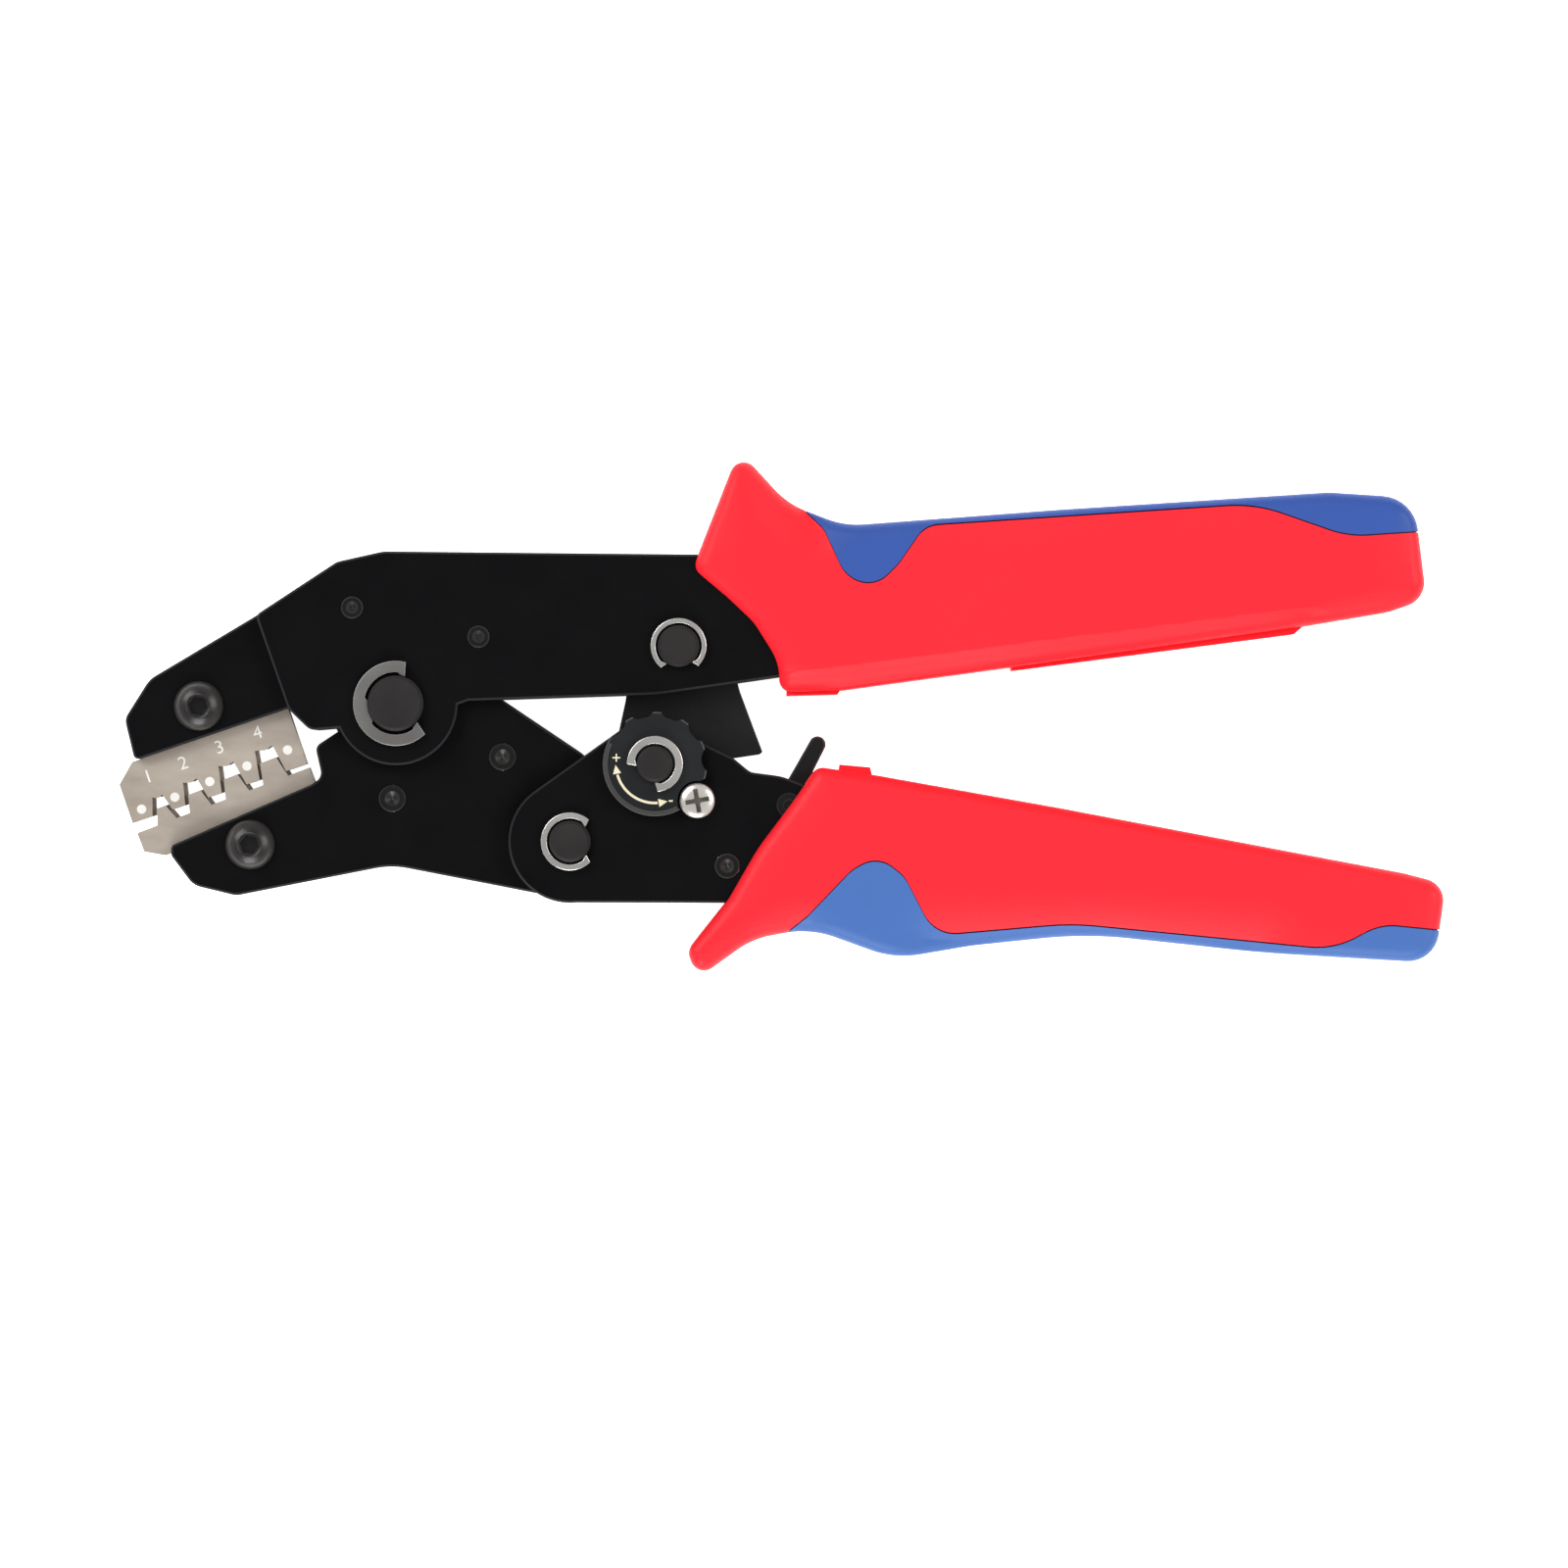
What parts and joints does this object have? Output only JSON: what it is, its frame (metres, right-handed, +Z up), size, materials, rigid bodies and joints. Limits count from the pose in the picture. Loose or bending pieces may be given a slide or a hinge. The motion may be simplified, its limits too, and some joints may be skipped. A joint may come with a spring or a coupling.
{
  "type": "ratchet crimping tool",
  "caption": "Hand crimping plier with two contoured grips, a ratchet link, an adjusting wheel and exchangeable comb dies for small open-barrel terminals.",
  "frame": {"origin": "centre of the bounding box on the table, under the tool lying on its flat back", "axes": "+X along the tool from the jaws to the grip ends, +Y towards the fixed handle, +Z up out of the front face"},
  "size_m": [0.1909, 0.0736, 0.0192],
  "materials": {
    "blackened_steel": "satin black oxide",
    "die_steel": "fine ground, warm grey",
    "dark_fastener": "dark oiled steel",
    "ring_steel": "phosphated spring steel",
    "link_steel": "dark oiled steel",
    "spring_steel": "bright wire",
    "nickel_screw": "bright nickel",
    "wheel_steel": "satin dark slate",
    "red_grip": "soft moulded, coral red",
    "blue_inlay_upper": "satin blue",
    "blue_inlay_lower": "satin blue"
  },
  "bodies": {
    "upper_arm": {"upper_frame_front": "blackened_steel", "upper_frame_rear": "blackened_steel", "upper_cheek_front": "blackened_steel", "upper_cheek_rear": "blackened_steel", "upper_jaw_core": "blackened_steel", "upper_frame_rivet": "dark_fastener", "spring_anchor_pin": "dark_fastener", "upper_die_front": "die_steel", "upper_die_rear": "die_steel", "upper_die_screw": "dark_fastener", "upper_die_nut": "dark_fastener", "main_pivot_pin": "dark_fastener", "main_pivot_clip": "ring_steel", "link_pivot_pin": "dark_fastener", "link_pivot_clip": "ring_steel", "return_spring": "spring_steel", "upper_tang_spacer": "blackened_steel", "upper_grip_shell": "red_grip", "upper_grip_inlay": "blue_inlay_upper"},
    "lower_jaw": {"lower_cheek_front": "blackened_steel", "lower_cheek_rear": "blackened_steel", "lower_jaw_core": "blackened_steel", "lower_jaw_rivets": "dark_fastener", "lower_die_front": "die_steel", "lower_die_rear": "die_steel", "lower_die_screw": "dark_fastener", "lower_die_nut": "dark_fastener", "handle_pivot_spacer": "dark_fastener"},
    "lower_handle": {"handle_plate_front": "blackened_steel", "handle_plate_rear": "blackened_steel", "handle_pivot_pin": "dark_fastener", "handle_pivot_clip": "ring_steel", "lock_screw": "nickel_screw", "pawl_pin": "dark_fastener", "pawl_spring_anchor": "dark_fastener", "pawl_spring": "spring_steel", "adjuster_spacers": "dark_fastener", "lower_tang_spacer": "blackened_steel", "lower_grip_shell": "red_grip", "lower_grip_inlay": "blue_inlay_lower"},
    "toggle_link": {"ratchet_link_front": "link_steel", "ratchet_link_rear": "link_steel", "link_washers": "dark_fastener"},
    "adjuster": {"adjusting_wheel": "wheel_steel", "adjusting_pin": "dark_fastener", "adjusting_pin_clip": "ring_steel"},
    "pawl": {"ratchet_pawl": "link_steel"}
  },
  "joints": [
    {"name": "jaw_pivot", "type": "hinge", "parent": "upper_arm", "child": "lower_jaw", "pos_m": [-0.05538, 0.0017, 0.009], "axis": [0, 0, 1], "range_deg": [-2.01, 7.85]},
    {"name": "handle_pivot", "type": "hinge", "parent": "lower_jaw", "child": "lower_handle", "pos_m": [-0.03032, -0.01817, 0.009], "axis": [0, 0, 1], "range_deg": [-28, 7.14]},
    {"name": "link_pivot", "type": "hinge", "parent": "upper_arm", "child": "toggle_link", "pos_m": [-0.01467, 0.00995, 0.009], "axis": [0, 0, 1], "range_deg": [-4.65, 18.21], "deforming": ["return_spring"]},
    {"name": "pawl_pivot", "type": "hinge", "parent": "lower_handle", "child": "pawl", "pos_m": [0.00122, -0.01295, 0.009], "axis": [0, 0, 1], "range_deg": [0, 22], "stiffness_Nm_per_rad": 0.002, "deforming": ["pawl_spring"]},
    {"name": "wheel_turn", "type": "hinge", "parent": "lower_handle", "child": "adjuster", "pos_m": [-0.01806, -0.00703, 0.009], "axis": [0, 0, 1], "range_deg": [-2, 2]}
  ],
  "couplings": [
    {"joint": "jaw_pivot", "follows": "handle_pivot", "ratio": -0.28},
    {"joint": "link_pivot", "follows": "handle_pivot", "ratio": -0.65}
  ]
}
